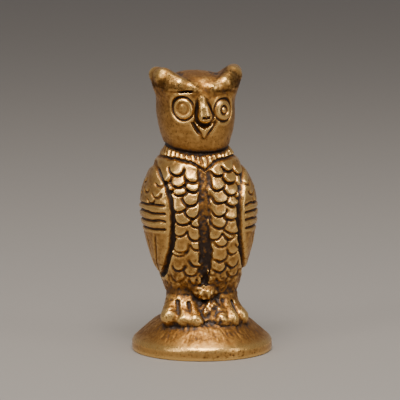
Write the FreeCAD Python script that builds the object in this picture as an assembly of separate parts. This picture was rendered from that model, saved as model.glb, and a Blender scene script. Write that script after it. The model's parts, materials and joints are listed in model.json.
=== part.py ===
import FreeCAD, Part
import math
import os

# Owl figurine: an upright owl on a round domed foot, cast in brass, about 100 mm tall.
# Units are millimetres. The origin is the centre of the foot's underside, +Z is up, and the owl
# faces -Y, so its own left side is +X. Every sub-part is one closed solid in parts/NODE.step, and
# neighbours meet face to face along the sculpted grooves of the figure.

# ---- driving dimensions ----
BASE_RADIUS = 24.1
BASE_TOP = 13.4           # crown of the domed foot, under the feet
BODY_HALF_WIDTH = 20.2
BODY_HALF_DEPTH = 17.0
HEAD_HALF_WIDTH = 13.3
ANKLE_Z = 20.6            # cuff between the breast and the feet
FEET_X = -0.8             # the feet stand a little to the figure's right
NECK_Z = 71.0             # crease between the ruff and the head
CROWN_Z = 96.5
EYE_RADIUS = 3.95
EYES = {"right": (-32.0, 84.7), "left": (28.5, 83.9)}   # direction from straight ahead, height
LEAN_DEG = 1.9            # the cast figure stands this far off plumb, towards its right
HEAD_TURN_DEG = 3.0       # the head looks this far towards its left
PIVOT = FreeCAD.Vector(0, 0, BASE_TOP)

SIDES = {"right": -1, "left": 1}     # the owl's own right and left
V = FreeCAD.Vector


# ---- shape helpers ----
def outline(z, half_width, front, back, squareness=2.2, points=12):
    """A closed level outline: a slightly squared ellipse, with its own depth in front and behind."""
    ring = []
    for k in range(points):
        angle = math.tau * (k / points + 0.25)
        along, across = math.cos(angle), math.sin(angle)
        depth = front if across < 0 else back
        reach = (abs(along / half_width) ** squareness + abs(across / depth) ** squareness)
        reach = reach ** (-1 / squareness)
        ring.append(V(reach * along, reach * across, z))
    curve = Part.BSplineCurve()
    curve.interpolate(Points=ring, PeriodicFlag=True)
    return Part.Wire(curve.toShape())


def stack(levels, grow=0.0):
    """A smooth solid through level outlines, each (z, half width, front depth, back depth)."""
    rings = [outline(z, w + grow, front + grow, back + grow) for z, w, front, back in levels]
    return Part.makeLoft(rings, True, False)


def horn(stations):
    """A smooth solid through round sections, each (centre, radius), square to the line of centres."""
    rings = []
    for k, (centre, radius) in enumerate(stations):
        before = stations[max(k - 1, 0)][0]
        after = stations[min(k + 1, len(stations) - 1)][0]
        rings.append(Part.Wire(Part.makeCircle(radius, centre, after - before)))
    return Part.makeLoft(rings, True, False)


def bulb(centre, half_width, half_length, turn_deg, tip_deg):
    """A spheroid with its long axis along Y, tipped up at the back and then turned about Z."""
    long_axis, front, back = V(0, 1, 0), V(0, -half_length, 0), V(0, half_length, 0)
    oval = Part.Ellipse(back, V(half_width, 0, 0), V(0, 0, 0))
    arc = Part.ArcOfEllipse(oval, -math.pi, 0).toShape()
    face = Part.Face(Part.Wire([arc, Part.LineSegment(front, back).toShape()]))
    shape = face.revolve(V(0, 0, 0), long_axis, 360)
    shape.rotate(V(0, 0, 0), V(1, 0, 0), tip_deg)
    shape.rotate(V(0, 0, 0), V(0, 0, 1), turn_deg)
    shape.translate(centre)
    return shape


def prism(edges, y_from, y_to):
    """A flat outline in the XZ plane, carried from y_from to y_to."""
    face = Part.Face(Part.Wire(edges))
    face.translate(V(0, y_from, 0))
    return face.extrude(V(0, y_to - y_from, 0))


def less(shape, *others):
    """The main solid that is left of the shape once the others are taken away."""
    for other in others:
        shape = shape.cut(other)
    return max(shape.Solids, key=lambda solid: solid.Volume)


def mirrored(shape):
    return shape.mirror(V(0, 0, 0), V(1, 0, 0))


# ---- the foot ----
def rim_arc(radius, z, start_deg, end_deg):
    """An arc that ends or starts on the rim's outermost line, at height z."""
    points = []
    for angle_deg in (start_deg, (start_deg + end_deg) / 2, end_deg):
        angle = math.radians(angle_deg)
        inset = radius * (1 - math.cos(angle))
        points.append(V(BASE_RADIUS - inset, 0, z + radius * math.sin(angle)))
    return points


def make_base():
    """A round plinth: a dished underside, a rounded rim and a flared dome."""
    dish_radius, dish_depth, dish_slope = 19.5, 0.9, 1.2
    low = rim_arc(1.4, 1.4, -90, 0)
    high = rim_arc(2.6, 3.2, 0, 50)
    dish = [V(0, 0, dish_depth), V(dish_radius, 0, dish_depth), V(dish_radius + dish_slope, 0, 0), low[0]]
    crown = V(0, 0, BASE_TOP)
    flare = Part.BSplineCurve()
    flare.interpolate([high[-1], V(19.4, 0, 7.9), V(15.9, 0, 10.7), V(11.5, 0, 12.4), crown],
                      InitialTangent=V(-0.75, 0, 0.66), FinalTangent=V(-1, 0, 0))
    edges = [Part.LineSegment(a, b).toShape() for a, b in zip(dish, dish[1:])]
    edges += [
        Part.Arc(*low).toShape(),
        Part.LineSegment(low[-1], high[0]).toShape(),
        Part.Arc(*high).toShape(),
        flare.toShape(),
        Part.LineSegment(crown, dish[0]).toShape(),
    ]
    face = Part.Face(Part.Wire(edges))
    return face.revolve(V(0, 0, 0), V(0, 0, 1), 360)


# ---- the trunk, wings and ruff share one outer skin ----
TRUNK_LEVELS = [                        # z, half width, front depth, back depth
    (ANKLE_Z, 12.5, 9.8, 10.3),
    (25.2, 14.0, 12.0, 11.9),
    (30.5, 15.9, 13.8, 13.5),
    (36.0, 17.7, 15.3, 14.9),
    (43.0, 19.4, 16.6, 16.1),
    (50.5, BODY_HALF_WIDTH, BODY_HALF_DEPTH, 16.6),
    (56.5, 19.1, 16.3, 15.7),
    (61.7, 16.9, 15.0, 14.2),
    (65.2, 14.9, 13.8, 13.0),
    (68.6, 12.4, 12.2, 11.4),
    (NECK_Z, 10.9, 11.1, 10.4),
    (NECK_Z + 2.0, 10.2, 10.4, 10.0),
]
WING_THICKNESS = 3.2
WING_Z = 48.5                           # widest level of a wing
WING_RISE, WING_DROP = 16.0, 21.8       # how far it reaches above and below that level
WING_HALF_LENGTH = 13.4                 # from that side's middle to its front or back edge
FURROW_RADIUS = 1.9                     # the furrow down the middle of the breast
FURROW_X = -1.4


def wing_side(side):
    """An egg-shaped bar across the figure, whose outline is the wing's carved edge."""
    x_from, x_to = 5.0, 30.0
    egg = outline(0, WING_HALF_LENGTH, WING_DROP, WING_RISE, squareness=2.0)
    egg.rotate(V(0, 0, 0), V(1, 1, 1), 120)
    egg.translate(V(x_from, 0, WING_Z))
    bar = Part.Face(egg).extrude(V(x_to - x_from, 0, 0))
    return mirrored(bar) if side < 0 else bar


def ruff_region():
    """Everything above a V in front and above a level line behind."""
    level, v_bottom, shoulder_x, notch_x = 67.7, 63.9, 10.5, 4.4
    far, top = 25.0, 80.0
    dip = Part.BSplineCurve()
    dip.interpolate([
        V(-shoulder_x, 0, level),
        V(-notch_x, 0, level - 1.2),
        V(0, 0, v_bottom),
        V(notch_x, 0, level - 1.2),
        V(shoulder_x, 0, level),
    ])
    corners = [V(shoulder_x, 0, level), V(far, 0, level), V(far, 0, top), V(-far, 0, top),
               V(-far, 0, level), V(-shoulder_x, 0, level)]
    edges = [dip.toShape()] + [Part.LineSegment(a, b).toShape() for a, b in zip(corners, corners[1:])]
    front = prism(edges, -far, 0)
    behind = Part.makeBox(2 * far, far, top - level, V(-far, 0, level))
    return front.fuse(behind)


def make_furrow():
    """A round-bottomed furrow that follows the breast from the ruff down to the ankles."""
    depth_share = 0.985
    line = [V(FURROW_X, -front * depth_share, z) for z, _, front, _ in TRUNK_LEVELS[:-2]]
    return horn([(point, FURROW_RADIUS) for point in line])


def make_pillar():
    """The web of metal between and behind the legs, from the foot of the figure to the ankles."""
    return stack([(9.0, 7.2, 10.4, 9.6), (14.0, 6.8, 9.8, 9.2), (ANKLE_Z, 6.6, 9.0, 9.2)])


def make_tail():
    """A flat fan from the small of the back down to the foot."""
    front_depth, back_depth = 4.0, 3.0
    levels = [                          # z, y of the back, half width
        (9.0, 16.9, 8.4),
        (14.0, 16.3, 7.8),
        (20.0, 15.4, 7.0),
        (27.0, 15.2, 5.7),
        (34.0, 15.7, 4.0),
        (39.0, 15.9, 2.4),
    ]
    rings = []
    for z, y_back, half_width in levels:
        ring = outline(z, half_width, front_depth, back_depth)
        ring.translate(V(0, y_back - back_depth, 0))
        rings.append(ring)
    return Part.makeLoft(rings, True, False)


# ---- the feet ----
def make_foot(side):
    """An instep that spreads into three blunt front toes, which grip the domed foot."""
    instep = stack([
        (9.0, 6.5, 8.4, 8.8),
        (13.0, 6.3, 7.6, 8.4),
        (17.5, 5.7, 5.8, 7.8),
        (ANKLE_Z, 5.0, 4.4, 7.6),
    ])
    instep.translate(V(side * 6.8, -4.2, 0))
    toe_half_width, toe_half_length, toe_dip_deg = 2.8, 6.2, 33.0
    toes = [(4.6, -10.4, 13.4, 2), (8.1, -10.0, 13.6, 8), (11.4, -7.6, 13.7, 30)]
    shape = instep
    for x, y, z, splay_deg in toes:
        toe = bulb(V(side * x, y, z), toe_half_width, toe_half_length, side * splay_deg, toe_dip_deg)
        shape = shape.fuse(toe)
    shape.translate(V(FEET_X, 0, 0))
    return shape


# ---- the head ----
HEAD_LEVELS = [
    (NECK_Z - 1.4, 9.4, 9.6, 9.2),
    (NECK_Z + 0.4, 11.0, 11.5, 10.5),
    (75.5, 12.3, 13.0, 11.7),
    (79.0, 12.9, 13.6, 12.5),
    (84.5, HEAD_HALF_WIDTH, 13.9, 13.0),
    (90.0, 12.9, 13.4, 12.6),
    (93.2, 11.8, 12.3, 11.0),
    (95.2, 9.4, 10.0, 8.4),
    (CROWN_Z, 5.4, 5.8, 4.6),
]


def make_tuft(side):
    """A horn-like brow that swells from above the beak to a blunt ear tip beside the crown."""
    stations = [
        (V(side * 2.6, -13.0, 91.2), 0.7),
        (V(side * 4.6, -12.3, 91.9), 1.3),
        (V(side * 7.6, -10.7, 93.0), 2.1),
        (V(side * 10.4, -8.0, 94.2), 2.6),
        (V(side * 12.6, -5.0, 95.2), 2.7),
        (V(side * 13.9, -2.0, 95.8), 2.2),
        (V(side * 14.3, -0.4, 95.9), 1.2),
    ]
    return horn(stations)


def make_eye(name):
    """A round button with a softened edge and a ring cut round its pupil."""
    degrees, z = EYES[name]
    seat, proud = 10.6, 14.9
    edge_round = 0.6
    ring_radius, ring_thickness = 1.35, 0.32
    button = Part.makeCylinder(EYE_RADIUS, proud - seat, V(0, 0, seat), V(0, 0, 1))
    button = button.makeFillet(edge_round, [e for e in button.Edges if e.CenterOfMass.z > proud - 0.01])
    button = button.cut(Part.makeTorus(ring_radius, ring_thickness, V(0, 0, proud), V(0, 0, 1)))
    button.rotate(V(0, 0, 0), V(1, 0, 0), 90)
    button.rotate(V(0, 0, 0), V(0, 0, 1), degrees)
    button.translate(V(0, 0, z))
    return button


def make_upper_beak():
    """A long nose-like ridge that widens to a round, drooping tip."""
    face_y = -13.2
    levels = [                          # z, x of the middle, half width, front depth
        (80.2, -0.4, 1.1, 1.6),
        (81.2, -0.4, 2.1, 2.7),
        (82.8, -0.4, 2.5, 3.2),
        (85.0, -0.7, 1.9, 2.6),
        (87.2, -1.1, 1.35, 1.8),
        (89.2, -1.3, 1.0, 1.1),
        (90.6, -1.4, 0.6, 0.6),
    ]
    rings = []
    for z, x, half_width, front in levels:
        ring = outline(z, half_width, front, 1.6)
        ring.translate(V(x, face_y, 0))
        rings.append(ring)
    return Part.makeLoft(rings, True, False)


def make_lower_beak(upper_beak):
    """A small pointed chin under the beak, standing a little proud of the face."""
    proud = 0.8
    left, right, tip = V(-3.7, 0, 80.0), V(3.2, 0, 79.9), V(-0.6, 0, 74.5)
    dip = Part.Arc(left, V(-0.2, 0, 78.4), right).toShape()
    right_side = Part.Arc(right, V(1.5, 0, 77.0), tip).toShape()
    left_side = Part.Arc(tip, V(-2.35, 0, 77.0), left).toShape()
    wedge = prism([dip, right_side, left_side], -17.0, -10.8)
    return less(wedge.common(stack(HEAD_LEVELS, proud)), upper_beak)


# ---- assembly ----
def turn(shape):
    """A head part, turned a little to the figure's left."""
    return shape.copy().rotate(V(0, 0, 0), V(0, 0, 1), HEAD_TURN_DEG)


def lean(shape):
    """The shape, leant with the whole figure about the crown of the domed foot."""
    return shape.copy().rotate(PIVOT, V(0, 1, 0), -LEAN_DEG)


def make_head_parts():
    """The head and everything let into it, and the plain head solid that the ruff is cut to."""
    skull = stack(HEAD_LEVELS)
    upper_beak = make_upper_beak()
    trims = {"upper_beak": upper_beak, "lower_beak": make_lower_beak(upper_beak)}
    for name, side in SIDES.items():
        trims[name + "_ear_tuft"] = make_tuft(side)
        trims[name + "_eye"] = less(make_eye(name), upper_beak)
    parts = {"head": less(skull, *trims.values()), **trims}
    return {name: turn(shape) for name, shape in parts.items()}, turn(skull)


def make_trunk_parts(skull):
    """The body with its neck and the web between its legs, the two wings and the ruff."""
    trunk = stack(TRUNK_LEVELS)
    core = stack(TRUNK_LEVELS, -WING_THICKNESS)
    ruff = ruff_region()
    regions = {name: wing_side(side) for name, side in SIDES.items()}
    carved = less(trunk, *regions.values(), ruff, make_furrow())
    parts = {name + "_wing": less(trunk.common(region), core, ruff) for name, region in regions.items()}
    parts["body"] = less(carved.fuse([core, make_pillar()]), skull)
    parts["collar"] = less(trunk.common(ruff), core, skull)
    return parts


def build():
    base = make_base()
    head_parts, skull = make_head_parts()
    nodes = {name: lean(shape) for name, shape in {**make_trunk_parts(skull), **head_parts}.items()}
    nodes["base"] = base
    nodes["body"] = less(nodes["body"], base)
    nodes["tail"] = less(lean(make_tail()), base, nodes["body"], nodes["left_wing"], nodes["right_wing"])
    for name, side in SIDES.items():
        nodes[name + "_foot"] = less(lean(make_foot(side)), base, nodes["body"], nodes["tail"])
    return nodes


def main():
    os.makedirs("parts", exist_ok=True)
    for name, shape in build().items():
        box = shape.BoundBox
        print(f"{name:16s} valid {shape.isValid()} solids {len(shape.Solids)} "
              f"volume {shape.Volume:9.1f} mm3  z {box.ZMin:6.2f} to {box.ZMax:6.2f}")
        shape.exportStep(f"parts/{name}.step")


main()
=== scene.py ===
"""Looks of the cast brass owl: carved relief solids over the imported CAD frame, brass, floor, light.

Lengths are millimetres until a mesh is made. The figure is carved as a distance field on a voxel
grid: negative inside the metal, positive outside. Relief is painted on charts wrapped round the
trunk and the head. Each CAD node is then meshed as its own closed piece of that field.
"""

import json
import math

import bpy
import numpy as np
import openvdb
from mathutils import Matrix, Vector

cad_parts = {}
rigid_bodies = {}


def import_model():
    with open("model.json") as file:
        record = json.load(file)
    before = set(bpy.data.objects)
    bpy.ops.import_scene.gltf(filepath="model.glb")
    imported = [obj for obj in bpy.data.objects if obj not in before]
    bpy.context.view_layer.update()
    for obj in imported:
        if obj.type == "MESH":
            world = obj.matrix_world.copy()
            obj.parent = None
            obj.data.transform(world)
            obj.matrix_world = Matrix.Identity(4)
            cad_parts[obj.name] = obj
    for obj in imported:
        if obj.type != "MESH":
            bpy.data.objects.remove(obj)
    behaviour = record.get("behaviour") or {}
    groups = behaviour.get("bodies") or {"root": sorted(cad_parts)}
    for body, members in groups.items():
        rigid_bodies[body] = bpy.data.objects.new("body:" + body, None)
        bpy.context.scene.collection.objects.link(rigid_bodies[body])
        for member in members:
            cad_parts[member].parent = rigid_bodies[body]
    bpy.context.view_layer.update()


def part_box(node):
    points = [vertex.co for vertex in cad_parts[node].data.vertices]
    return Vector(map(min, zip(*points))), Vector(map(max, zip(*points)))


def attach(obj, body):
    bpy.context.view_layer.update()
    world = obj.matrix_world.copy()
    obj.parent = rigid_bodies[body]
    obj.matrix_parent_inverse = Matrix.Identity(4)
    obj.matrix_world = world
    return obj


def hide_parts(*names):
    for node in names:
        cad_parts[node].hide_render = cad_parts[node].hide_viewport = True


# ---- driving dimensions, mm and degrees ----
MM = 0.001
TRUNK_PITCH = 0.3      # voxel size below the neck
HEAD_PITCH = 0.24      # voxel size of the head
TRUNK_GRID = ((-27, -27, -1.5), (27, 27, 77))  # low and high corners
HEAD_GRID = ((-23, -19, 65), (19, 18, 101.5))
LEAN = math.tan(math.radians(1.9))             # the figure leans towards its right
LEAN_FROM = 13.4
HEAD_TURN = math.radians(3.0)                  # and looks a little towards its left
SQUARENESS = 2.2                               # level outlines are slightly squared ellipses

NECK_Z, NECK_DROOP = 71.5, 2.4                 # crease under the head, lower in front
ANKLE_Z = 20.6
FEET_BACK_Y = 5.0                              # where the feet end behind
FEET_X = -0.8                                  # the feet stand a little to the figure's right

BASE_RADIUS = 24.1
BASE_PROFILE = [                               # z, radius of the round foot
    (0.0, 23.9), (0.4, 24.1), (3.2, 24.1), (4.3, 23.6), (5.2, 22.5), (6.6, 20.9), (8.0, 19.3),
    (9.4, 17.8), (10.8, 15.9), (12.0, 13.2), (12.9, 9.5), (13.4, 4.0), (13.5, 0.0),
]
DISH_RADIUS, DISH_DEPTH = 20.2, 0.9
CHISEL_MARKS = 260                             # on the dome of the foot
RIM_PINHOLES, BODY_PINHOLES = 70, 170
SEAM_OVERLAP = 0.45                            # neighbours run into each other, so no seam opens
WINDOW_MARGIN = 8.0                            # how far a carved piece may pass its CAD node's box
TRUNK_LEVELS = [                               # z, half width, front depth, back depth
    (9.0, 14.2, 10.4, 10.6),
    (14.0, 12.6, 9.8, 10.0),
    (19.0, 11.9, 9.4, 10.0),
    (21.7, 12.7, 10.2, 10.6),
    (25.2, 13.9, 12.0, 11.9),
    (28.7, 15.2, 13.3, 13.0),
    (32.2, 16.4, 14.2, 13.9),
    (36.0, 17.4, 15.2, 14.8),
    (41.0, 18.6, 16.1, 15.6),
    (46.0, 19.5, 16.7, 16.2),
    (50.5, 19.7, 16.8, 16.4),
    (55.0, 19.1, 16.4, 15.9),
    (58.3, 18.0, 15.8, 15.1),
    (61.7, 16.6, 14.9, 14.1),
    (65.2, 14.8, 13.7, 12.9),
    (67.0, 13.5, 12.9, 12.1),
    (68.6, 12.3, 12.1, 11.3),
    (70.5, 10.9, 11.1, 10.4),
    (72.0, 10.6, 10.8, 10.2),
    (74.5, 10.4, 10.6, 10.0),
]
HEAD_LEVELS = [
    (65.5, 9.6, 10.2, 9.2),
    (69.0, 10.3, 11.0, 9.8),
    (71.0, 10.8, 11.7, 10.3),
    (73.0, 11.4, 12.3, 10.9),
    (75.5, 12.3, 13.0, 11.7),
    (78.5, 12.9, 13.5, 12.4),
    (82.0, 13.3, 13.9, 12.9),
    (87.0, 13.2, 13.8, 13.0),
    (90.5, 13.0, 13.4, 12.8),
    (94.0, 12.6, 12.8, 12.4),
    (99.0, 12.0, 12.2, 11.8),
]
CROWN_Z, CROWN_BEND = 96.5, 0.014              # top of the skull and how fast it falls away
CROWN_BEND_BEHIND = 0.012                      # how much faster it falls at the back
SIDES = {"right": -1, "left": 1}               # the owl's own right and left
RANDOM = np.random.default_rng(11)


# ---- small tools for arrays ----
def ramp(start, end, value):
    """0 before start and 1 after end, eased at both ends."""
    t = np.clip((value - start) / (end - start), 0, 1)
    return t * t * (3 - 2 * t)


def stroke(distance, half_width):
    """1 on a line and 0 from half_width away, with a rounded bottom."""
    t = np.clip(1 - (distance / half_width) ** 2, 0, 1)
    return t * np.sqrt(t)


def union(a, b, blend):
    """Smooth union of two distance fields, which fills the corner between them."""
    t = np.clip(0.5 + 0.5 * (b - a) / blend, 0, 1)
    return b + (a - b) * t - blend * t * (1 - t)


def softened(values, passes):
    """The values with their corners rounded by repeated averaging along the first axis."""
    for _ in range(passes):
        before = 2 * values[:1] - values[1:2]
        after = 2 * values[-1:] - values[-2:-1]
        padded = np.concatenate([before, values, after])
        values = (padded[:-2] + 2 * padded[1:-1] + padded[2:]) / 4
    return values


def weights(coordinates, cell, count):
    """Eased interpolation weights from a lattice of that cell size to the coordinates."""
    place = np.mod(coordinates / cell, count - 1)
    index = np.minimum(place.astype(int), count - 2)
    part = ramp(0, 1, place - index)
    table = np.zeros((len(coordinates), count), np.float32)
    rows = np.arange(len(coordinates))
    table[rows, index] = 1 - part
    table[rows, index + 1] = part
    return table


def noise(axes, cell):
    """Random lumps of about the cell's size, from -1 to 1, over a grid with those axes."""
    count = 48
    field = RANDOM.uniform(-1, 1, [count] * len(axes)).astype(np.float32)
    for axis in axes:
        field = np.tensordot(field, weights(axis, cell, count), axes=([0], [1]))
    return field


def box_blur(field, reach):
    """Running mean over 2 reach + 1 cells along each axis, twice, which is close to a Gaussian."""
    for axis in (0, 1, 2, 0, 1, 2):
        edges = [(0, 0)] * 3
        edges[axis] = (reach + 1, reach)
        total = np.cumsum(np.pad(field, edges, mode="edge"), axis=axis, dtype=np.float32)
        high = np.take(total, range(2 * reach + 1, total.shape[axis]), axis=axis)
        low = np.take(total, range(total.shape[axis] - 2 * reach - 1), axis=axis)
        field = (high - low) / (2 * reach + 1)
    return field


# ---- outlines and relief charts ----
class Outline:
    """A stack of level outlines, smoothed between the given levels."""

    def __init__(self, levels, passes=60):
        levels = np.array(levels)
        self.z = np.arange(levels[0, 0], levels[-1, 0], 0.1)
        columns = [np.interp(self.z, levels[:, 0], column) for column in levels[:, 1:].T]
        self.rings = softened(np.stack(columns, axis=1), passes)

    def at(self, z):
        """Half width, front depth and back depth at the height z."""
        return [np.interp(z, self.z, column).astype(np.float32) for column in self.rings.T]

    def radius(self, across, forward, z):
        """Radius of the surface in the level direction (across, forward), a unit vector."""
        width, front, back = self.at(z)
        depth = np.where(forward > 0, front, back)
        reach = np.abs(across / width) ** SQUARENESS + np.abs(forward / depth) ** SQUARENESS
        return reach ** (-1 / SQUARENESS)

    def distance(self, x, y, z):
        """Roughly the distance from the surface, negative inside."""
        radial = np.sqrt(x * x + y * y) + 1e-4
        width = self.at(z)[0]
        slope = np.gradient(width, axis=-1) / np.gradient(z, axis=-1)
        off = radial - self.radius(x / radial, -y / radial, z)
        return off / np.sqrt(1 + np.minimum(slope, 3) ** 2)


class Chart:
    """Relief heights on the surface of an outline, by angle from straight ahead and by height z."""

    STEP = 0.1
    WAVER = 0.32                               # how far a hand-cut line strays

    def __init__(self, outline):
        self.z = np.arange(outline.z[0], outline.z[-1], self.STEP, dtype=np.float32)[None, :]
        self.angle = np.linspace(-math.pi, math.pi, 1441, dtype=np.float32)[:, None]
        self.radius = outline.radius(np.sin(self.angle), np.cos(self.angle), self.z)
        self.x = self.radius * np.sin(self.angle)
        arc = np.cumsum(self.radius, axis=0) * (self.angle[1, 0] - self.angle[0, 0])
        self.arc = arc - arc[len(self.angle) // 2]       # mm round the surface from straight ahead
        self.degrees = np.degrees(self.angle) + 0 * self.z
        self.cut_arc = self.arc + self.WAVER * self.grain(2.6)
        self.cut_z = self.z + self.WAVER * self.grain(2.6)
        self.height = np.zeros_like(self.radius)

    def grain(self, cell):
        """Random lumps over the chart."""
        return noise([self.angle[:, 0] * 16, self.z[0]], cell)

    def sample(self, angle, z):
        """The painted relief at angles and heights that lie between the chart's own."""
        height = self.height
        column = (angle + math.pi) / (self.angle[1, 0] - self.angle[0, 0])
        column = np.clip(column, 0, height.shape[0] - 1.01)
        row = np.clip((z - self.z[0, 0]) / self.STEP, 0, height.shape[1] - 1.01)
        i, j = column.astype(int), row.astype(int)
        u, v = column - i, row - j
        lower = height[i, j] * (1 - u) + height[i + 1, j] * u
        upper = height[i, j + 1] * (1 - u) + height[i + 1, j + 1] * u
        return lower * (1 - v) + upper * v


def neck_crease(forward):
    """Height of the crease under the head, from how far the direction points forward."""
    return NECK_Z - NECK_DROOP * np.clip(forward, 0, 1) ** 1.5


# ---- trunk relief: breast, channel, wings, ruff ----
WING_CENTRE_DEG = 89.0
WING_HALF_DEG = {"right": 47.0, "left": 50.0}
WING_CENTRE_Z, WING_RISE, WING_DROP = 48.5, 16.0, 21.8     # widest level, and how far it reaches
WING_LEVEL_RADIUS = 17.5                       # of the trunk, on average where the wings lie
WING_CUTS = (51.4, 48.9, 46.1, 43.3)           # heights of the cross cuts
CHANNEL = [                                    # z, middle, half width
    (20.0, -0.8, 1.6), (30.0, -1.3, 2.1), (37.0, -1.5, 2.3), (46.0, -1.4, 2.3), (62.0, -0.7, 2.1),
]
SCALE_COLUMNS = [                              # mm from the middle, top, how many
    (4.3, 62.0, 10), (9.3, 63.9, 10), (14.0, 61.8, 7),
]
SCALE_PITCH = 4.1
BACK_ROWS, BACK_TOP, BACK_PITCH = 8, 62.0, 4.6             # feathers between the wings
BACK_SPACING = 5.6
WING_CRESCENTS = [                             # degrees from straight ahead, z
    (59, 59.4), (60, 55.8), (67, 53.6), (79, 57.0), (93, 60.0), (96, 55.2),
]
FLIGHT_FEATHERS = (-0.55, -0.15, 0.25, 0.62)   # as shares of the wing's half width
RUFF_Z, RUFF_DROP = 67.7, 3.9                  # lower edge at the sides, how far its V hangs
RUFF_V_LEFT, RUFF_V_RIGHT = 3.3, 4.0           # half width of the V on either side
BEAD_PITCH = 1.95
WING_GROOVE, LEFT_GROOVE_EXTRA = (1.5, 1.15), 0.3          # depth and half width of each cut
WING_CUT, FEATHER_CUT = (0.75, 0.62), (0.5, 0.75)
HEM_HALF_WIDTH, CREASE_HALF_WIDTH = 0.75, 0.85


def wing_edge(chart_degrees, z, radius):
    """Distance in mm outside the outline of the wing on either side, negative on the wing."""
    arc_per_degree = radius * math.pi / 180
    across = (np.abs(chart_degrees) - WING_CENTRE_DEG) * arc_per_degree
    half = np.where(chart_degrees < 0, WING_HALF_DEG["right"], WING_HALF_DEG["left"])
    reach = half * arc_per_degree
    up = z - WING_CENTRE_Z
    tall = np.where(up > 0, WING_RISE, WING_DROP)
    ring = np.sqrt((across / reach) ** 2 + (up / tall) ** 2) + 1e-4
    slope = np.sqrt((across / reach ** 2) ** 2 + (up / tall ** 2) ** 2) / ring
    return (ring - 1) / np.maximum(slope, 0.02)


def ruff_edge(x, degrees):
    """Height of the ruff's lower edge: a V in front, level round the sides and back."""
    front = np.abs(degrees) < 90
    off = np.abs(x + 0.2) / np.where(x < -0.2, RUFF_V_RIGHT, RUFF_V_LEFT)
    return RUFF_Z - RUFF_DROP * np.exp(-off ** 1.2) * front


def channel_at(z):
    """Middle and half width of the channel down the breast."""
    levels = np.array(CHANNEL)
    return np.interp(z, levels[:, 0], levels[:, 1]), np.interp(z, levels[:, 0], levels[:, 2])


def crescent(chart, arc, z, half_width, half_height, depth, lift):
    """One overlapping scale: a tongue rising to its lower lip, with a groove under the lip."""
    across = (chart.cut_arc - arc) / half_width
    up = (chart.cut_z - z) / half_height
    ring = np.sqrt(across ** 2 + up ** 2)
    lower = ramp(0.15, -0.4, up)
    size = (half_width + half_height) / 2
    groove = stroke((ring - 1.05) * size, 0.72) * lower
    tongue = ramp(1.0, 0.7, ring) * ramp(0.7, -0.8, up)
    return lift * tongue - depth * groove, ring


def paint_scales(chart):
    """Uneven columns of overlapping scales down both sides of the breast."""
    places = []
    for side in SIDES.values():
        for arc, top, count in SCALE_COLUMNS:
            for row in range(count):
                stray = 0.35 + 0.06 * row
                z = top + 0.5 * side - row * SCALE_PITCH + RANDOM.normal(0, stray)
                places.append((z, side * arc - 0.6 + RANDOM.normal(0, stray)))
    relief = np.zeros_like(chart.height)
    for z, arc in sorted(places):
        fresh = float(ramp(30, 56, z)) * RANDOM.uniform(0.6, 1.0)
        half = RANDOM.uniform(2.4, 3.2)
        tall = half * RANDOM.uniform(0.8, 1.0)
        depth, lift = 0.42 + 0.42 * fresh, 0.3 + 0.5 * fresh
        shape, ring = crescent(chart, arc, z + 1.2, half, tall, depth, lift)
        relief = np.where(ring < 1.25, np.where(ring < 1.0, shape, relief + shape), relief)
    return relief


def paint_back(chart):
    """Larger, shallower feathers down the strip of back between the wings."""
    relief = np.zeros_like(chart.height)
    behind = np.where(chart.arc > 0, chart.arc[-1:], chart.arc[:1])
    around = chart.cut_arc - behind
    for row in reversed(range(BACK_ROWS)):
        z = BACK_TOP - row * BACK_PITCH
        for column in (-1.0, 0.0, 1.0):
            offset = (column + (0.5 if row % 2 else 0.0)) * BACK_SPACING + RANDOM.normal(0, 0.25)
            across = (around - offset) / 3.0
            up = (chart.cut_z - z) / 3.2
            ring = np.sqrt(across ** 2 + up ** 2)
            shape = 0.4 * ramp(1.0, 0.7, ring) * ramp(1.2, -0.9, up)
            shape -= 0.6 * stroke((ring - 1.05) * 3.1, 0.7) * ramp(0.25, -0.45, up)
            relief = np.where(ring < 1.2, np.where(ring < 1.0, shape, relief + shape), relief)
    return relief


def paint_wings(chart, edge):
    """Cross cuts, a few small crescents on the shoulder and long flight feathers on each wing."""
    degrees = np.abs(chart.degrees)
    inner = ramp(-1.4, -2.6, edge) * ramp(130, 112, degrees)
    relief = 0.32 * ramp(0.0, -2.2, edge) + 0.2 * ramp(-1.0, -6.0, edge)
    for z in WING_CUTS:
        line = chart.cut_z - z - 0.3 * np.cos(np.radians(degrees - 60) * 2.2)
        relief = relief - WING_CUT[0] * stroke(line, WING_CUT[1]) * inner
        relief = relief + 0.12 * stroke(line + 1.1, 0.8) * inner
    half = np.sqrt(np.clip(1 - ((chart.z - WING_CENTRE_Z) / WING_DROP) ** 2, 0, 1))
    wander = chart.cut_arc - chart.arc
    below_cuts = ramp(42.3, 39.5, chart.z) * ramp(-0.3, -1.4, edge)
    for share in FLIGHT_FEATHERS:
        feather = WING_CENTRE_DEG + share * WING_HALF_DEG["right"] * half + (42 - chart.z) * 0.3
        across = (degrees - feather) * chart.radius * math.pi / 180 + wander
        relief = relief - FEATHER_CUT[0] * stroke(across, FEATHER_CUT[1]) * below_cuts
    for side in SIDES.values():
        for degrees_at, z in WING_CRESCENTS:
            spot = np.abs(chart.degrees - side * degrees_at) + np.abs(chart.z - z)
            arc = chart.arc.flat[np.argmin(spot)]
            shape, ring = crescent(chart, arc, z, 1.7, 1.5, 0.6, 0.15)
            relief = np.where(ring < 1.4, relief + shape, relief)
    return relief * (edge < 0)


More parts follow.
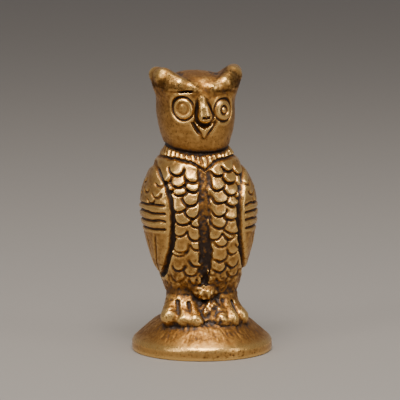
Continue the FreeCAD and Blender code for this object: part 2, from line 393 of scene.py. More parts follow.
def paint_ruff(chart, hem, neck):
    """Upright beads between the ruff's hem and the neck crease, fainter away from the front."""
    beads = np.cos((chart.cut_arc + 0.4 * chart.grain(1.8)) * (2 * math.pi / BEAD_PITCH))
    tall = (chart.z - hem) / (neck - hem)
    bead = ramp(-0.75, 0.6, beads) * ramp(0.0, 0.25, tall) * ramp(1.0, 0.72, tall)
    strength = 0.4 + 0.6 * ramp(100, 45, np.abs(chart.degrees))
    return (0.55 * bead - 0.3) * strength


def paint_trunk(chart):
    """All the relief below the neck, as heights above the plain trunk."""
    edge = wing_edge(chart.degrees, chart.cut_z, chart.radius)
    hem = ruff_edge(chart.x, chart.degrees)
    neck = neck_crease(np.cos(chart.angle))
    cut_hem = chart.cut_z - hem
    middle, half = channel_at(chart.z)
    low = ramp(34, 26, chart.z)
    ragged = 1.3 * (chart.cut_arc - chart.arc) + 0.8 * chart.grain(2.6)
    ragged = ragged + (0.4 + 0.5 * low) * chart.grain(1.3)
    beside_channel = np.abs(chart.x - middle + ragged) - half
    front = ramp(95, 80, np.abs(chart.degrees))

    # scales on the breast, feathers on the back, worn lumps low down in front
    clear_of_wings = ramp(0.3, 1.3, edge)
    breast = clear_of_wings * ramp(-0.1, -1.0, cut_hem) * ramp(-0.6, 0.3, beside_channel)
    relief = paint_scales(chart) * breast * front * ramp(22.5, 28.0, chart.z)
    back = clear_of_wings * ramp(26, 30, chart.z) * (front < 0.5)
    relief = relief + paint_back(chart) * back
    relief = relief + low * front * (0.25 * chart.grain(2.4) + 0.1 * chart.grain(0.9))

    # the channel down the breast and the cleft between the legs
    channel = ramp(0.5, -0.9, beside_channel) * front * ramp(0.3, -1.5, cut_hem)
    relief = relief - channel * (1.0 + 0.2 * ramp(50, 36, chart.z) - 0.18 * chart.grain(0.9))
    cleft = stroke(beside_channel + half, 1.5) * ramp(42, 32, chart.z) * ramp(21, 25, chart.z)
    relief = relief - 0.3 * cleft * front

    # the wings and the groove round each, wider and deeper on the left
    relief = relief + paint_wings(chart, edge)
    extra = LEFT_GROOVE_EXTRA * ramp(-2, 2, chart.x)
    groove_half = WING_GROOVE[1] + extra + 0.25 * chart.grain(3.0)
    groove = stroke(edge - 0.3, groove_half) * (0.35 + 0.65 * ramp(64.5, 61.0, chart.z))
    relief = relief - (WING_GROOVE[0] + extra) * groove * ramp(0.5, -0.8, cut_hem)

    # the ruff over all of that, its hem, the crease under the head and the ankles
    relief = np.where(cut_hem > -0.9, relief * ramp(0.1, -0.6, cut_hem), relief)
    relief = np.where(cut_hem > 0, paint_ruff(chart, hem, neck), relief)
    ahead = ramp(105, 55, np.abs(chart.degrees))
    relief = relief - (0.35 + 0.6 * ahead) * stroke(cut_hem + 0.3, HEM_HALF_WIDTH)
    relief = relief - (0.4 + 0.3 * ahead) * stroke(chart.cut_z - neck, CREASE_HALF_WIDTH)
    ankles = stroke(chart.cut_z - ANKLE_Z, 0.7) * ramp(130, 110, np.abs(chart.degrees))
    relief = relief - 0.22 * ankles
    chart.height = relief + 0.07 * chart.grain(1.1) + 0.08 * chart.grain(3.4)


# ---- head relief: eyes, grooves of the face ----
EYES = {"right": (-32.0, 84.7), "left": (28.5, 83.9)}      # angle from straight ahead, height
EYE_RADIUS = 3.95                                          # of the groove round the eye
EYE_GROOVE = (0.55, 0.52)                                  # its depth and half width
EYE_RINGS = {"right": (1.9, 0.22, 0.8), "left": (1.3, 0.85, 0.62)}    # radius, depth, half width
NOSE_LINE = [                                  # centres and radii from the brow down to the tip
    ((-1.4, -12.4, 89.8), 0.8), ((-1.2, -13.2, 87.8), 1.25), ((-0.7, -13.7, 84.8), 1.9),
    ((-0.4, -13.7, 82.3), 2.6),
]
NOSTRIL_X, NOSTRIL_Z, NOSTRIL_Y = -0.35, 81.9, -14.9       # middle of the slot, and its bottom
CHIN_CORNERS, CHIN_TIP = ((-3.7, 80.0), (3.2, 79.9)), (-0.6, 74.5)
BROW_CREASE_Z = 90.3
BROWS = {                                      # centres and radii from the beak out to the ear tip
    "right": [((-3.4, -12.4, 91.4), 0.9), ((-7.6, -10.6, 93.0), 1.9), ((-12.4, -5.4, 95.2), 2.6),
              ((-13.7, -1.6, 95.6), 2.3), ((-11.0, 3.6, 92.6), 1.9)],
    "left": [((3.2, -12.5, 91.5), 0.9), ((7.6, -10.6, 93.0), 1.9), ((12.4, -5.4, 95.5), 2.5),
             ((13.7, -1.6, 95.9), 2.3), ((11.0, 3.6, 92.8), 1.9)],
}
BROW_UNDERSIDES = {                            # metal that thickens each ear tuft below its ridge
    "right": [((-5.6, -11.4, 91.3), 0.8), ((-10.0, -8.0, 92.3), 2.0), ((-12.0, -2.2, 92.6), 2.4)],
    "left": [((5.4, -11.5, 91.3), 0.8), ((9.8, -8.2, 92.3), 2.0), ((11.9, -2.2, 92.6), 2.4)],
}
CROWN_NOTCHES = ((-6.4, -3.0, 96.2), (5.8, -3.4, 96.0))    # stained nicks where the brows meet it


def eye_radius(chart, name):
    """Distance round the surface from the middle of an eye."""
    degrees, z = EYES[name]
    row = int((z - chart.z[0, 0]) / chart.STEP)
    middle = np.interp(degrees, chart.degrees[:, 0], chart.arc[:, row])
    return np.hypot(chart.arc - middle, chart.z - z) + 0.5 * (chart.cut_arc - chart.arc)


def paint_eyes(chart):
    """A raised button in a round groove; the left one has a deep ring, the right one is worn."""
    relief = np.zeros_like(chart.height)
    for name in SIDES:
        radius = eye_radius(chart, name)
        relief = relief - EYE_GROOVE[0] * stroke(radius - EYE_RADIUS, EYE_GROOVE[1])
        relief = relief + 0.14 * stroke(radius - EYE_RADIUS - 0.9, 0.9)
        relief = relief + 0.5 * ramp(EYE_RADIUS - 0.3, EYE_RADIUS - 1.2, radius)
        ring_radius, depth, half = EYE_RINGS[name]
        relief = relief - depth * stroke(radius - ring_radius, half)
        if name == "right":
            relief = relief + 0.1 * chart.grain(1.1) * ramp(2.4, 1.2, radius)
    return relief


def nose_outline(chart):
    """Distance in mm outside the nose, seen from the front."""
    z = np.array([place[2] for place, _ in NOSE_LINE[::-1]])
    x = np.array([place[0] for place, _ in NOSE_LINE[::-1]])
    half = np.array([radius for _, radius in NOSE_LINE[::-1]])
    beside = np.abs(chart.x - np.interp(chart.z, z, x)) - np.interp(chart.z, z, half)
    below = np.hypot(chart.x - x[0], chart.z - z[0]) - half[0]
    return np.where(chart.z > z[0], beside, below)


def chin_edges(x, z):
    """Distances outside the chin's two flanks and above its curved top, seen from the front."""
    tip_x, tip_z = CHIN_TIP
    flanks = []
    for side, (corner_x, corner_z) in zip((-1, 1), CHIN_CORNERS):
        flank_x = tip_x + (corner_x - tip_x) * (z - tip_z) / (corner_z - tip_z)
        flanks.append(side * (x - flank_x) * 0.86)
    top = z - (79.9 - 1.6 * np.clip(1 - (x / 3.6) ** 2, 0, 1))
    return flanks[0], flanks[1], top


def paint_mouth(chart):
    """The small pointed chin, its two flanks and the curved line under the nose."""
    right, left, top = chin_edges(chart.x, chart.cut_z)
    flank = np.maximum(right, left)
    span = ramp(80.8, 79.6, chart.z) * ramp(73.4, 74.9, chart.z)
    chin = ramp(0.3, -1.4, flank) * ramp(0.1, -0.8, top)
    relief = 0.8 * chin
    fading = 0.2 + 0.8 * ramp(75.2, 77.2, chart.z)
    relief = relief - 1.1 * stroke(right - 0.6, 0.95) * span * fading * (chart.x < 0)
    relief = relief - 0.8 * stroke(left - 0.45, 0.7) * span * fading * (chart.x > -0.4)
    return relief - 0.8 * stroke(top - 0.55, 0.65) * ramp(0.8, -0.4, flank)


def paint_brow_creases(chart):
    """The cut under each brow: a short deep slot on the right, a long soft crease on the left."""
    relief = np.zeros_like(chart.height)
    for name, side in SIDES.items():
        degrees = side * chart.degrees
        along = ramp(15, 21, degrees) * ramp(60, 40, degrees)
        slot = ramp(38, 31, degrees) if name == "right" else 0.0
        line = chart.cut_z - BROW_CREASE_Z + 0.5 * (name == "left") * ramp(15, 60, degrees)
        relief = relief - (0.16 + 0.95 * slot) * stroke(line, 0.65) * along
    return relief


def paint_head(chart):
    """All the relief of the head but the solid nose and brows."""
    front = ramp(100, 85, np.abs(chart.degrees))
    nose = nose_outline(chart)
    neck = neck_crease(np.cos(chart.angle))
    relief = np.where(nose < 2.2, paint_eyes(chart) * ramp(0.5, 1.8, nose), paint_eyes(chart))
    deep = 0.75 + 0.3 * (chart.x < 0)
    relief = relief - deep * stroke(nose - 0.5, 0.72) * ramp(88.5, 85.0, chart.z)
    relief = (relief + paint_mouth(chart) + paint_brow_creases(chart)) * front
    relief = relief - 0.45 * stroke(chart.cut_z - neck, 0.8)
    chart.height = relief + 0.03 * chart.grain(1.3) + 0.07 * chart.grain(4.2)


# ---- solid shapes ----
def cone(x, y, z, start, end, r_start, r_end):
    """Distance from a round-ended cone between two points."""
    axis = np.subtract(end, start)
    along = (x - start[0]) * axis[0] + (y - start[1]) * axis[1] + (z - start[2]) * axis[2]
    t = np.clip(along / (axis @ axis), 0, 1)
    off_x = x - start[0] - t * axis[0]
    off_y = y - start[1] - t * axis[1]
    off_z = z - start[2] - t * axis[2]
    return np.sqrt(off_x ** 2 + off_y ** 2 + off_z ** 2) - (r_start + (r_end - r_start) * t)


def chain(x, y, z, line, blend):
    """Distance from a run of round-ended cones through (centre, radius) pairs."""
    field = None
    for (start, r_start), (end, r_end) in zip(line, line[1:]):
        part = cone(x, y, z, start, end, r_start, r_end)
        field = part if field is None else union(field, part, blend)
    return field


def ball(x, y, z, centre, radii):
    """Roughly the distance from an ellipsoid."""
    parts = [((value - c) / r) ** 2 for value, c, r in zip((x, y, z), centre, radii)]
    return (np.sqrt(sum(parts)) - 1) * min(radii)


class Volume:
    """A voxel grid with the leaning figure's coordinates."""

    def __init__(self, low, high, pitch):
        self.pitch = pitch
        self.axes = [np.arange(a, b, pitch, dtype=np.float32) for a, b in zip(low, high)]
        self.world_x, self.y, self.z = np.meshgrid(*self.axes, indexing="ij", sparse=True)
        self.x = self.world_x + LEAN * (self.z - LEAN_FROM)

    def window(self, low, high, margin):
        """Index ranges of the part of the grid within margin mm of a box."""
        found = []
        for axis, a, b in zip(self.axes, low, high):
            first = np.searchsorted(axis, a - margin)
            last = np.searchsorted(axis, b + margin)
            found.append(slice(max(first, 0), min(last, len(axis))))
        return tuple(found)

    def grain(self, cell):
        """Random lumps over the grid."""
        return noise(self.axes, cell)


def base_field(volume):
    """The round foot with its rounded rim, radial chisel marks and dished underside."""
    levels = np.array(BASE_PROFILE)
    fine_z = np.arange(0, levels[-1, 0], 0.05)
    fine_r = softened(np.interp(fine_z, levels[:, 0], levels[:, 1]), 60)
    slope = np.minimum(np.abs(np.gradient(fine_r, fine_z)), 6)
    radial = np.sqrt(volume.world_x ** 2 + volume.y ** 2)
    angle = np.arctan2(volume.world_x, -volume.y)
    lean = np.sqrt(1 + np.interp(volume.z, fine_z, slope) ** 2)
    field = (radial - np.interp(volume.z, fine_z, fine_r)) / lean
    field = np.maximum(field, volume.z - levels[-1, 0])
    field = field + chisel_marks(radial, angle) * ramp(5.0, 6.4, volume.z)
    field = np.maximum(field, -volume.z)
    return np.maximum(field, -np.maximum(radial - DISH_RADIUS, volume.z - DISH_DEPTH))


def chisel_marks(radial, angle):
    """Short radial cuts on the dome, as depths to take away."""
    depth = np.zeros_like(radial)
    for _ in range(CHISEL_MARKS):
        at = RANDOM.uniform(-math.pi, math.pi)
        r = RANDOM.uniform(14.5, 21.5)
        turn = RANDOM.normal(0, 0.2)
        half = RANDOM.uniform(0.8, 2.8)
        turned = np.mod(angle - at + math.pi, 2 * math.pi) - math.pi
        across = turned * radial - turn * (radial - r)
        along = ramp(half, half * 0.2, np.abs(radial - r))
        mark = stroke(across, RANDOM.uniform(0.35, 0.7)) * along
        depth = np.maximum(depth, mark * RANDOM.uniform(0.05, 0.16))
    return depth


TOES = {                                       # centres and radii from the instep to each tip
    "right": [[((-9.6, -5.0, 16.8), 3.3), ((-12.5, -9.6, 13.2), 3.2)],
              [((-6.8, -5.8, 17.0), 3.2), ((-8.2, -12.2, 12.4), 2.6)],
              [((-4.8, -6.2, 17.0), 3.1), ((-4.4, -13.0, 12.1), 2.9)]],
    "left": [[((4.8, -6.2, 17.0), 3.2), ((4.6, -13.4, 12.1), 2.9)],
             [((6.8, -5.8, 17.0), 3.2), ((8.4, -12.8, 12.3), 2.7)],
             [((8.6, -5.0, 16.8), 3.1), ((12.1, -10.0, 12.6), 2.8)]],
}
SLOTS = {                                      # both ends of each cut between two toes
    "right": [((-9.5, -9.0, 18.4), (-10.1, -12.8, 14.8)),
              ((-5.8, -10.2, 17.8), (-6.1, -14.0, 15.4))],
    "left": [((6.0, -10.2, 18.6), (6.4, -13.8, 16.2)),
             ((9.2, -9.0, 17.6), (10.6, -13.0, 14.4))],
}
SLOT_DEPTH, SLOT_HALF_WIDTH = 1.4, 0.85
INSTEP = ((6.8, -3.6, 15.6), (6.0, 6.8, 7.0))   # centre and radii, mirrored for the other foot
FLASH = ((-0.8, -10.2, 21.4), (3.5, 2.4, 3.0))  # centre and radii of rough metal above the feet
WEB = ((0.5, -9.4, 13.2), (4.8, 5.2, 5.6))      # and of that between them


def foot_field(volume, name):
    """An instep and three chunky toes with slots between them."""
    x, y, z = volume.x, volume.y, volume.z
    x = x - FEET_X
    (across, forward, up), radii = INSTEP
    field = ball(x, y, z, (SIDES[name] * across, forward, up), radii)
    for toe in TOES[name]:
        field = union(field, chain(x, y, z, toe, 0.5), 1.5)
    for start, end in SLOTS[name]:
        field = field + SLOT_DEPTH * stroke(cone(x, y, z, start, end, 0.0, 0.0), SLOT_HALF_WIDTH)
    return field


def web_field(volume):
    """The rough metal between the feet and the flash above it."""
    x, y, z = volume.x, volume.y, volume.z
    flash = ball(x, y, z, *FLASH) + 0.4 * volume.grain(1.0)
    web = ball(x, y, z, *WEB) + 0.4 * volume.grain(2.0) + 0.35 * volume.grain(1.0)
    return union(web, flash, 0.8)


TAIL_TOP_Z, TAIL_FRONT_Y = 40.0, 8.0
TAIL_GROOVES = (-0.6, -0.2, 0.2, 0.6)          # as shares of its half width


def tail_field(volume):
    """A flat fan with four long grooves, from the small of the back to the foot."""
    x, y, z = volume.x, volume.y, volume.z
    half = np.interp(z, [9, 14, 22, 32, 40], [8.4, 7.8, 6.6, 4.6, 2.0]).astype(np.float32)
    back = np.interp(z, [9, 14, 20, 27, 34, 40], [17.0, 16.4, 15.4, 15.2, 15.8, 15.9])
    depth = y - (back.astype(np.float32) - 1.4 * (x / half) ** 2)
    grooves = sum(stroke(x / half - share, 0.11) for share in TAIL_GROOVES)
    field = np.maximum(np.abs(x) - half, depth + 0.6 * grooves)
    field = np.maximum(field, TAIL_FRONT_Y - y)
    return np.maximum(field, z - TAIL_TOP_Z)


def trunk_fields(volume, chart, outline):
    """The trunk's carved field, and distances outside the areas of its wings and ruff."""
    x, y, z = volume.x, volume.y, volume.z
    plain = outline.distance(x, y, z)
    near = np.abs(plain) < 3.4
    angle = np.arctan2(x + 0 * y, -y + 0 * x)[near]
    height = (z + 0 * plain)[near]
    carved = plain.copy()
    carved[near] -= chart.sample(angle, height)
    degrees = np.degrees(angle)
    edge = np.full_like(plain, 9.0)
    edge[near] = wing_edge(degrees, height, WING_LEVEL_RADIUS)
    radial = np.sqrt(x * x + y * y)
    hem = np.full_like(plain, 67.6)
    hem[near] = ruff_edge(np.sin(angle) * (radial + 0 * plain)[near], degrees)
    core = -(plain + 3.0)
    return carved, np.maximum(edge, core), np.maximum(hem - 0.3 - z, core)


def neck_surface(x, y):
    """Height of the cut between trunk and head over a grid."""
    radial = np.sqrt(x * x + y * y) + 1e-4
    return neck_crease(-y / radial) * ramp(2, 8, radial) + NECK_Z * ramp(8, 2, radial)


def head_frame(volume):
    """Coordinates that turn with the head."""
    c, s = math.cos(HEAD_TURN), math.sin(HEAD_TURN)
    x = volume.x * c + volume.y * s
    return x, volume.y * c - volume.x * s, volume.z + 0 * x


def nose_field(x, y, z):
    """The nose-like ridge with one wide nostril slot."""
    field = chain(x, y, z, NOSE_LINE, 0.4)
    slot = np.maximum(np.abs(x - NOSTRIL_X) - 1.4, np.abs(z - NOSTRIL_Z - 0.1 * x) - 0.5)
    return np.maximum(field, -np.maximum(slot, y - NOSTRIL_Y))


# ---- meshes ----
def sampled(field, places):
    """Values of a grid at points given in grid index units."""
    low = np.clip(places.astype(int), 0, np.array(field.shape) - 2)
    part = places - low
    total = 0
    for corner in range(8):
        step = np.array([corner & 1, corner >> 1 & 1, corner >> 2 & 1])
        share = np.prod(np.where(step, part, 1 - part), axis=1)
        total = total + share * field[tuple((low + step).T)]
    return total


def make_piece(name, volume, field, region, wear, material):
    """One closed mesh of the field inside the region, standing for the CAD node of that name."""
    low, high = (np.array(corner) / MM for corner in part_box(name))
    window = volume.window(low, high, WINDOW_MARGIN)
    solid = np.maximum(field[window], region[window] - SEAM_OVERLAP) / volume.pitch
    for axis in range(3):
        for end in (0, -1):
            edge = [slice(None)] * 3
            edge[axis] = end
            solid[tuple(edge)] = 3.0
    grid = openvdb.FloatGrid(background=3.0)
    grid.copyFromArray(np.clip(solid, -3, 3).astype(np.float32), tolerance=0.0)
    points, quads = grid.convertToQuads(isovalue=0.0)
    places = points + np.array([s.start for s in window])
    origin = np.array([axis[0] for axis in volume.axes])
    mesh = bpy.data.meshes.new(name)
    mesh.from_pydata((places * volume.pitch + origin) * MM, [], quads[:, ::-1])
    mesh.polygons.foreach_set("use_smooth", np.ones(len(quads), bool))
    mesh.set_sharp_from_angle(angle=math.radians(65))
    for label, values in wear.items():
        attribute = mesh.attributes.new(label, "FLOAT", "POINT")
        attribute.data.foreach_set("value", sampled(values, places).astype(np.float32))
    mesh.materials.append(material)
    mesh.update()
    piece = bpy.data.objects.new(name + "_carved", mesh)
    bpy.context.scene.collection.objects.link(piece)
    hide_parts(name)
    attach(piece, "root")
    print(name, len(quads), "quads")


def cavity_fields(field, volume):
    """How much metal surrounds each point, near by and further off: about a half on a flat face."""
    filled = np.clip(0.5 - field / volume.pitch, 0, 1)
    return {
        "fine_cavity": box_blur(filled, max(1, round(0.55 / volume.pitch))),
        "broad_cavity": box_blur(filled, max(2, round(1.6 / volume.pitch))),
    }


def trunk_stain_and_shade(volume):
    """Where patina was left standing: the channel, the worn lower breast, the feet and the ruff; also
    a darker film on the dome of the foot, partly painted shade that dims its sheen.
    """
    x, y, z = volume.x, volume.y, volume.z
    middle, half = channel_at(z)
    front = ramp(2, -4, y)
    blotch = ramp(-0.25, 0.55, volume.grain(2.2))
    speck = ramp(-0.3, 0.7, volume.grain(0.9))
    channel = ramp(0.9, -0.7, np.abs(x - middle) - half) * ramp(65, 62, z) * ramp(22, 26, z)
    stain_and_shade = channel * (0.35 + 0.5 * ramp(50, 36, z) + 0.3 * speck)
    low = ramp(36, 28, z) * ramp(12.0, 16.0, z)
    stain_and_shade = np.maximum(stain_and_shade, low * (0.1 + 0.1 * blotch + 0.4 * speck))
    web = ramp(5.4, 3.0, np.abs(x - 0.8)) * ramp(28, 24, z) * ramp(9, 12, z)
    web = web * ramp(-0.2, 0.8, ball(x, y, z, *FLASH))
    stain_and_shade = np.maximum(stain_and_shade, web * (0.35 + 0.6 * speck))
    ruff = ramp(64, 66, z) * ramp(5, 1.5, np.abs(x + 1.0))
    stain_and_shade = np.maximum(stain_and_shade, ruff * (0.3 * blotch + 0.25 * speck))
    crease = ramp(1.5, 0.5, np.abs(z - neck_surface(x, y) + 0.3)) * ramp(11, 6, np.abs(x))
    stain_and_shade = np.maximum(stain_and_shade, crease * (0.4 + 0.5 * speck))
    # a darker brown film over the dome of the foot: partly painted shade that dims the sheen of the
    # light from above
    dome = ramp(12.8, 11.5, z) * ramp(5.0, 7.0, z)
    stain_and_shade = np.maximum(stain_and_shade * front, dome * (0.2 + 0.2 * blotch))
    return stain_and_shade + 0.15 * blotch * speck


def add_pinholes(volume, outline, field, stain_and_shade):
    """Casting pinholes: a sprinkling on the rim's front left, others strewn over the figure."""
    places = []
    for _ in range(RIM_PINHOLES):
        at = RANDOM.normal(0.24, 0.2)
        z = RANDOM.uniform(0.6, 5.0)
        places.append((BASE_RADIUS * math.sin(at), -BASE_RADIUS * math.cos(at), z))
    for _ in range(BODY_PINHOLES):
        at, z = RANDOM.uniform(-math.pi, math.pi), RANDOM.uniform(22, 66)
        r = float(outline.radius(math.sin(at), math.cos(at), np.array([z]))[0])
        places.append((r * math.sin(at) - LEAN * (z - LEAN_FROM), -r * math.cos(at), z))
    for x, y, z in places:
        radius = RANDOM.uniform(0.15, 0.28)
        window = volume.window((x, y, z), (x, y, z), 1.0)
        off_x = volume.world_x[window[0]] - x
        off_y = volume.y[:, window[1]] - y
        off_z = volume.z[:, :, window[2]] - z
        off = np.sqrt(off_x ** 2 + off_y ** 2 + off_z ** 2)
        field[window] += 0.6 * radius * stroke(off, 1.4 * radius)
        stain_and_shade[window] = np.maximum(stain_and_shade[window], 0.8 * ramp(2.2 * radius, 0.4 * radius, off))


def carve_lower(material):
    """Foot, trunk, wings, ruff, tail and feet."""
    volume = Volume(*TRUNK_GRID, TRUNK_PITCH)
    outline = Outline(TRUNK_LEVELS)
    chart = Chart(outline)
    paint_trunk(chart)
    trunk, wings, ruff = trunk_fields(volume, chart, outline)
    x, y, z = volume.x, volume.y, volume.z
    trunk = np.maximum(trunk, 6 - z)
    base = base_field(volume)
    feet = [foot_field(volume, name) for name in SIDES]
    tail = tail_field(volume)
    neck = neck_surface(x, y)

    # join the solids, with rough metal round the feet and an uneven skin all over
    low = ramp(31, 22, z) * ramp(8, 12, z) * ramp(2, -4, y)
    pits = 0.22 * ramp(0.35, 0.8, volume.grain(0.75)) + 0.14 * volume.grain(1.5)
    skin = 0.04 * volume.grain(2.6) + 0.06 * ramp(0.45, 0.85, volume.grain(0.8))
    figure = union(trunk, union(web_field(volume), np.minimum(*feet), 0.5), 1.8)
    figure = union(figure, tail, 0.8)
    figure = union(figure, base, 1.9) + low * pits + skin
    figure = np.maximum(figure, -z)

    # patina and wear; the film on the dome of the foot is partly painted shade
    wing_groove = ramp(1.5, 0.6, np.abs(wings - 0.4)) * ramp(64, 61, z)
    stain_and_shade = np.maximum(trunk_stain_and_shade(volume), 0.85 * wing_groove)
    add_pinholes(volume, outline, figure, stain_and_shade)
    skull = Outline(HEAD_LEVELS).distance(x, y, z)
    whole = np.minimum(figure, np.maximum(skull, neck + 0.4 - z))
    wear = cavity_fields(whole, volume)
    wear["stain_and_shade"] = stain_and_shade

    # the space that each CAD node's piece takes up
    above_base = SEAM_OVERLAP + 0.02 - base
    legs = np.maximum(np.maximum(z - ANKLE_Z, above_base), y - FEET_BACK_Y)
    tail_area = np.maximum(np.maximum(tail, SEAM_OVERLAP - trunk), above_base)
    regions = {"base": base, "tail": tail_area, "collar": ruff}
    for name, side in SIDES.items():
        regions[name + "_foot"] = np.maximum(legs, 1.0 - side * x)
        regions[name + "_wing"] = np.maximum(wings, -side * x)
    rest = np.maximum(above_base, -tail_area)
    rest = np.maximum(rest, -np.maximum(legs, 1.0 - np.abs(x)))
    rest = np.maximum(rest, -wings)
    regions["body"] = np.maximum(rest, -ruff)
    trunk_top = np.maximum(figure, z - neck - 0.5)
    for name, region in regions.items():
        make_piece(name, volume, trunk_top, region, wear, material)


def carve_head(material):
    """Skull, brows with ear tufts, eyes and beak."""
    volume = Volume(*HEAD_GRID, HEAD_PITCH)
    outline = Outline(HEAD_LEVELS, passes=30)
    chart = Chart(outline)
    paint_head(chart)
    x, y, z = head_frame(volume)
    plain = outline.distance(x, y, z)
    behind = ramp(-5, 6, y)
    crown = z - CROWN_Z + (CROWN_BEND + CROWN_BEND_BEHIND * behind) * (x * x + y * y)
    plain = -union(-plain, -crown, 3.5 + 5.5 * behind)

    # join the brows and the nose to the skull, then carve the painted relief
    brows = {}
    for name in SIDES:
        underside = chain(x, y, z, BROW_UNDERSIDES[name], 0.8)
        brows[name] = union(chain(x, y, z, BROWS[name], 0.8), underside, 1.6)
    nose = nose_field(x, y, z)
    melt = 2.6 + 3.6 * ramp(6, 11, np.abs(x))
    figure = union(plain, union(brows["right"], brows["left"], 2.0), melt)
    figure = union(figure, nose, 0.35 + 1.6 * ramp(85.5, 90.0, z))
    near = np.abs(figure) < 3
    figure[near] -= chart.sample(np.arctan2(x, -y)[near], z[near])
    smudge = np.zeros_like(figure)
    for notch in CROWN_NOTCHES:
        figure = figure + 0.5 * stroke(ball(x, y, z, notch, (1.0, 2.2, 1.0)), 0.9)
        smudge = np.maximum(smudge, ramp(1.2, -0.8, ball(x, y, z, notch, (1.4, 2.6, 1.2))))
    figure = figure + 0.03 * volume.grain(2.4)

    # patina and wear; the darker film on the crown and brows is partly painted shade
    neck = neck_surface(x, y)
    wear = cavity_fields(np.minimum(figure, z - neck), volume)
    blotch = ramp(-0.1, 0.7, volume.grain(2.4))
    crease = ramp(1.6, 0.4, z - neck) * ramp(11, 6, np.abs(x)) * ramp(2, -4, y)
    # darker film over the crown and brows above z 87.5: partly painted shade that dims the highlight
    # from the lights above; the crease under the head and the nicks hold patina
    wear["stain_and_shade"] = 0.3 * ramp(87.5, 91.5, z) + 0.1 * blotch + 0.6 * np.maximum(crease, smudge)

    # the space that each CAD node's piece takes up
    skin = -0.5 - plain
    regions = {name + "_ear_tuft": np.maximum(field - 0.6, skin) for name, field in brows.items()}
    nose_area = np.maximum(nose - 0.3, -1.2 - plain)
    regions["upper_beak"] = np.maximum(nose_area, -np.minimum(brows["right"], brows["left"]) + 0.6)
    for name, (degrees, eye_z) in EYES.items():
        direction = math.radians(degrees)
        across = x * math.cos(direction) + y * math.sin(direction)
        ahead = x * math.sin(direction) - y * math.cos(direction)
        disc = np.hypot(across, z - eye_z) - (EYE_RADIUS - 0.1)
        regions[name + "_eye"] = np.maximum(np.maximum(disc, 11.0 - ahead), -nose_area)
    right, left, top = chin_edges(x, z)
    chin = np.maximum(np.maximum(right, left) - 0.3, np.maximum(top - 0.4, y + 10.4))
    regions["lower_beak"] = np.maximum(chin, -nose_area)
    rest = neck - 0.5 - z
    for region in regions.values():
        rest = np.maximum(rest, -region)
    regions["head"] = rest
    for name, region in regions.items():
        make_piece(name, volume, figure, region, wear, material)


# ---- material ----
PATINA = (0.024, 0.011, 0.006)
FILM = (0.265, 0.117, 0.027)                   # thin brown film on metal that isn't rubbed; on the crown and the dome of the foot it is partly painted shade
WORN_PALE, WORN_DARK = (0.70, 0.385, 0.12), (0.56, 0.29, 0.078)
RUBBED = (0.84, 0.53, 0.18)                    # the high spots
PATINA_DEPTHS = (0.64, 0.79)                   # hollowness at which patina starts and is full
FILM_DEPTHS = (0.54, 0.69)
BUMP_STRENGTH, BUMP_DISTANCE = 0.22, 0.0002


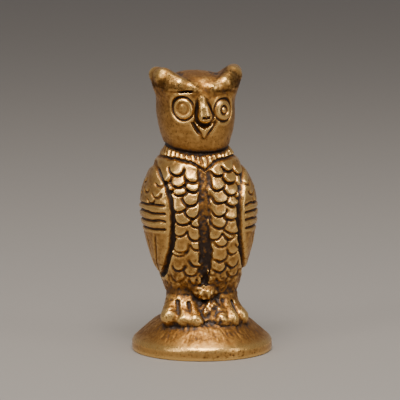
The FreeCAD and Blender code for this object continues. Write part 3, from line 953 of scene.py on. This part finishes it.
def brass_material():
    """Rubbed brass on the high spots, dark brown patina in the recesses."""
    material = bpy.data.materials.new("antique_brass")
    material.use_nodes = True
    tree = material.node_tree
    nodes, links = tree.nodes, tree.links
    shader = nodes["Principled BSDF"]

    def attribute(name):
        """A value stored on the mesh."""
        node = nodes.new("ShaderNodeAttribute")
        node.attribute_name = name
        return node.outputs["Fac"]

    def speckle(scale, detail=4.0, roughness=0.6):
        """Fine noise fixed to the metal, from 0 to 1."""
        place = nodes.new("ShaderNodeTexCoord")
        node = nodes.new("ShaderNodeTexNoise")
        node.inputs["Scale"].default_value = scale
        node.inputs["Detail"].default_value = detail
        node.inputs["Roughness"].default_value = roughness
        links.new(place.outputs["Object"], node.inputs["Vector"])
        return node.outputs["Fac"]

    def fit(value, low, high, to_low=0.0, to_high=1.0):
        """The value eased from one range to another."""
        node = nodes.new("ShaderNodeMapRange")
        node.interpolation_type = "SMOOTHSTEP"
        links.new(value, node.inputs["Value"])
        node.inputs["From Min"].default_value = low
        node.inputs["From Max"].default_value = high
        node.inputs["To Min"].default_value = to_low
        node.inputs["To Max"].default_value = to_high
        return node.outputs["Result"]

    def maths(operation, a, b):
        """A sum, difference or product; each side is a number or a socket."""
        node = nodes.new("ShaderNodeMath")
        node.operation = operation
        for socket, value in zip(node.inputs, (a, b)):
            if isinstance(value, float):
                socket.default_value = value
            else:
                links.new(value, socket)
        return node.outputs["Value"]

    def mixed(factor, a, b):
        """From colour a to colour b as the factor goes from 0 to 1."""
        node = nodes.new("ShaderNodeMix")
        node.data_type = "RGBA"
        links.new(factor, node.inputs["Factor"])
        for socket, value in ((node.inputs["A"], a), (node.inputs["B"], b)):
            if isinstance(value, tuple):
                socket.default_value = (*value, 1.0)
            else:
                links.new(value, socket)
        return node.outputs["Result"]

    hollow = maths("ADD", maths("MULTIPLY", attribute("fine_cavity"), 0.6),
                   maths("MULTIPLY", attribute("broad_cavity"), 0.4))
    grime = maths("ADD", maths("MULTIPLY", speckle(900.0), 0.16),
                  maths("MULTIPLY", speckle(260.0), 0.08))
    specks = maths("MULTIPLY", fit(speckle(1500.0, 2.0, 0.5), 0.6, 0.72), 0.09)
    grime = maths("ADD", grime, specks)
    uneven = fit(speckle(700.0, 3.0, 0.7), 0.35, 0.65, 0.08, 0.24)
    # the stored stain: real stains and patina, plus painted shade on the crown and the dome of the
    # foot
    stain_and_shade = maths("MULTIPLY", attribute("stain_and_shade"), uneven)
    depth = maths("ADD", maths("ADD", hollow, grime), stain_and_shade)
    patina = fit(depth, *PATINA_DEPTHS)
    film = fit(depth, *FILM_DEPTHS)
    rubbed = fit(hollow, 0.5, 0.38)
    worn = mixed(speckle(220.0), WORN_PALE, WORN_DARK)
    bright = mixed(rubbed, worn, RUBBED)
    color = mixed(patina, mixed(film, bright, FILM), PATINA)
    links.new(color, shader.inputs["Base Color"])
    rough = maths("ADD", fit(film, 0.0, 1.0, 0.27, 0.47), maths("MULTIPLY", speckle(900.0), 0.08))
    rough = maths("SUBTRACT", rough, maths("MULTIPLY", rubbed, 0.06))
    links.new(rough, shader.inputs["Roughness"])
    links.new(fit(patina, 0.0, 1.0, 1.0, 0.35), shader.inputs["Metallic"])

    bump = nodes.new("ShaderNodeBump")
    bump.inputs["Strength"].default_value = BUMP_STRENGTH
    bump.inputs["Distance"].default_value = BUMP_DISTANCE
    links.new(speckle(1300.0, 6.0, 0.7), bump.inputs["Height"])
    links.new(bump.outputs["Normal"], shader.inputs["Normal"])
    return material


# ---- floor, light, camera ----
FLOOR_COLOR = (0.25, 0.232, 0.218)
FLOOR_HALF = 3.0                               # metres
WORLD_COLOR, WORLD_STRENGTH = (0.40, 0.38, 0.365), 0.8
LIGHT_COLOR = (1.0, 0.95, 0.87)
LIGHT_TARGET = Vector((0, 0, 50)) * MM
SOFTBOXES = {                                  # azimuth, elevation, distance and size in m, watts
    "top_softbox": (-12, 58, 0.9, (0.5, 0.4), 10.0),
    "overhead_softbox": (-12, 84, 0.8, (0.5, 0.5), 2.6),
    "left_softbox": (-58, 28, 1.0, (0.25, 0.8), 2.3),
    "right_softbox": (45, 20, 1.1, (0.25, 0.8), 2.2),
}
CAMERA_TARGET = Vector((-0.7, 0, 51.7)) * MM
CAMERA_AZIMUTH, CAMERA_ELEVATION, CAMERA_DISTANCE = -12.0, 8.3, 1.0
CAMERA_LENS = 262.4


def make_floor():
    """A plain pale floor."""
    material = bpy.data.materials.new("pale_floor")
    material.use_nodes = True
    shader = material.node_tree.nodes["Principled BSDF"]
    shader.inputs["Base Color"].default_value = (*FLOOR_COLOR, 1.0)
    shader.inputs["Roughness"].default_value = 0.8
    mesh = bpy.data.meshes.new("floor")
    corners = [(x * FLOOR_HALF, y * FLOOR_HALF, 0) for x, y in ((-1, -1), (1, -1), (1, 1), (-1, 1))]
    mesh.from_pydata(corners, [], [(0, 1, 2, 3)])
    mesh.materials.append(material)
    floor = bpy.data.objects.new("floor", mesh)
    bpy.context.scene.collection.objects.link(floor)


def make_world():
    """Even grey light from all round."""
    world = bpy.data.worlds.new("studio")
    bpy.context.scene.world = world
    world.use_nodes = True
    background = world.node_tree.nodes["Background"]
    background.inputs["Color"].default_value = (*WORLD_COLOR, 1.0)
    background.inputs["Strength"].default_value = WORLD_STRENGTH


def aimed(name, data, target, azimuth, elevation, distance):
    """A new object at that direction and distance from the target, looking at it."""
    a, e = math.radians(azimuth), math.radians(elevation)
    back = Vector((math.sin(a) * math.cos(e), -math.cos(a) * math.cos(e), math.sin(e)))
    item = bpy.data.objects.new(name, data)
    item.location = target + back * distance
    item.rotation_mode = "QUATERNION"
    item.rotation_quaternion = (-back).to_track_quat("-Z", "Y")
    bpy.context.scene.collection.objects.link(item)
    return item


def make_softbox(name, azimuth, elevation, distance, size, watts):
    """An area light aimed at the middle of the figurine."""
    light = bpy.data.lights.new(name, "AREA")
    light.shape = "RECTANGLE"
    light.size, light.size_y = size
    light.energy = watts
    light.color = LIGHT_COLOR
    aimed(name, light, LIGHT_TARGET, azimuth, elevation, distance)


def make_camera():
    """A long lens a little to the owl's right and above it."""
    data = bpy.data.cameras.new("camera")
    data.sensor_width = 36.0
    data.lens = CAMERA_LENS
    data.clip_start, data.clip_end = 0.05, 20.0
    place = (CAMERA_AZIMUTH, CAMERA_ELEVATION, CAMERA_DISTANCE)
    bpy.context.scene.camera = aimed("camera", data, CAMERA_TARGET, *place)


for stale in list(bpy.data.objects):
    bpy.data.objects.remove(stale)
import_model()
brass = brass_material()
carve_lower(brass)
carve_head(brass)
make_floor()
make_world()
for softbox, setting in SOFTBOXES.items():
    make_softbox(softbox, *setting)
make_camera()
